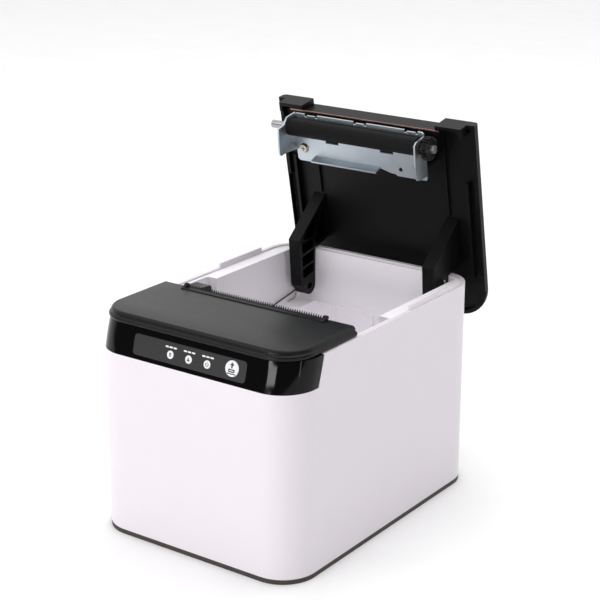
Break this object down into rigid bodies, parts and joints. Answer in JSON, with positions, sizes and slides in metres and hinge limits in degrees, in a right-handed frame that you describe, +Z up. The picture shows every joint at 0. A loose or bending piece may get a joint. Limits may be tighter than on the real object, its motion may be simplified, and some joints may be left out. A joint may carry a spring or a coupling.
{
  "type": "receipt printer",
  "caption": "Desktop thermal receipt printer with a white casing and a hinged black paper lid that carries the platen roller.",
  "frame": {"origin": "middle of the underside of the casing, on the surface it stands on", "axes": "+X to the right seen from the front, -Y towards the front, +Z up"},
  "size_m": [0.13, 0.1941, 0.2071],
  "materials": {
    "white_shell": "fine matte ABS",
    "white_frame": "fine matte ABS",
    "base_dark": "matte",
    "gloss_black": "piano black",
    "label_grey": "printed film",
    "lamp_white": "frosted",
    "button_white": "satin",
    "switch_dark": "matte",
    "board_green": "solder mask",
    "cover_grey": "fine spark texture",
    "cutter_black": "satin",
    "mech_black": "matte",
    "ceramic": "glazed",
    "aluminium": "mill finish",
    "bright_steel": "ground",
    "spring_steel": "drawn wire",
    "motor_can": "plated",
    "brass": "machined",
    "gear_white": "acetal",
    "gear_black": "acetal",
    "lever_black": "satin",
    "flat_cable": "film",
    "port_grey": "matte",
    "socket_black": "matte",
    "rocker_black": "satin",
    "foot_rubber": "matte",
    "screw_steel": "nickel plated",
    "wire_dark": "insulated",
    "lid_black": "satin",
    "copper_strip": "copper foil",
    "zinc_sheet": "zinc plated",
    "platen_rubber": "ground rubber"
  },
  "bodies": {
    "casing": {"base_plate": "base_dark", "main_shell": "white_shell", "inner_frame": "white_frame", "front_bezel": "gloss_black", "panel_label": "label_grey", "indicator_lamps": "lamp_white", "button_switch": "switch_dark", "panel_board": "board_green", "front_cover": "cover_grey", "tear_bar": "cutter_black", "mech_frame": "mech_black", "mech_side_left": "mech_black", "mech_side_right": "mech_black", "head_pin": "bright_steel", "head_springs": "spring_steel", "stepper_motor": "motor_can", "idler_axle": "bright_steel", "lever_pin": "bright_steel", "paper_sensor": "switch_dark", "main_board": "board_green", "head_cable": "flat_cable", "port_plate": "port_grey", "power_socket": "socket_black", "usb_socket": "bright_steel", "drawer_socket": "socket_black", "switch_housing": "socket_black", "rubber_feet": "foot_rubber", "base_screws": "screw_steel", "frame_screws": "screw_steel", "hinge_pins": "bright_steel", "hinge_springs": "spring_steel", "earth_wire": "wire_dark"},
    "feed_button": {"feed_button": "button_white"},
    "print_head": {"thermal_head": "ceramic", "heat_sink": "aluminium"},
    "motor_rotor": {"motor_shaft": "bright_steel", "motor_pinion": "brass"},
    "idler": {"idler_gear": "gear_white"},
    "release_lever": {"release_lever": "lever_black"},
    "power_rocker": {"power_rocker": "rocker_black"},
    "lid": {"lid": "lid_black", "arm_left": "lid_black", "arm_right": "lid_black", "static_strip": "copper_strip", "platen_bracket": "zinc_sheet", "bracket_screws": "screw_steel", "platen_bushes": "gear_black"},
    "platen": {"platen_shaft": "bright_steel", "platen_rubber": "platen_rubber", "platen_gear": "gear_black"}
  },
  "joints": [
    {"name": "lid_hinge", "type": "hinge", "parent": "casing", "child": "lid", "pos_m": [0, 0.0771, 0.0962], "axis": [1, 0, 0], "range_deg": [0, 78.9]},
    {"name": "platen_spin", "type": "hinge", "parent": "lid", "child": "platen", "pos_m": [0, 0.06265, 0.19425], "axis": [1, 0, 0], "continuous": true},
    {"name": "idler_spin", "type": "hinge", "parent": "casing", "child": "idler", "pos_m": [0.0463, -0.03455, 0.09645], "axis": [1, 0, 0], "continuous": true},
    {"name": "motor_spin", "type": "hinge", "parent": "casing", "child": "motor_rotor", "pos_m": [0.0463, -0.04525, 0.098], "axis": [1, 0, 0], "continuous": true},
    {"name": "feed_button_press", "type": "slide", "parent": "casing", "child": "feed_button", "axis": [0, 0.9642, -0.2652], "range_m": [0, 0.0006], "stiffness_N_per_m": 300, "springref_m": -0.0004},
    {"name": "release_lever_pivot", "type": "hinge", "parent": "casing", "child": "release_lever", "pos_m": [-0.0555, -0.009, 0.091], "axis": [-1, 0, 0], "range_deg": [0, 7], "stiffness_Nm_per_rad": 0.05, "springref_deg": -8.59},
    {"name": "print_head_pivot", "type": "hinge", "parent": "casing", "child": "print_head", "pos_m": [0, -0.0304, 0.091], "axis": [1, 0, 0], "range_deg": [0, 1.5], "stiffness_Nm_per_rad": 1, "springref_deg": -2.86},
    {"name": "power_rocker_tilt", "type": "hinge", "parent": "casing", "child": "power_rocker", "pos_m": [-0.034, 0.083, 0.0214], "axis": [1, 0, 0], "range_deg": [-16, 0]}
  ],
  "couplings": [
    {"joint": "motor_spin", "follows": "idler_spin", "ratio": -2}
  ]
}
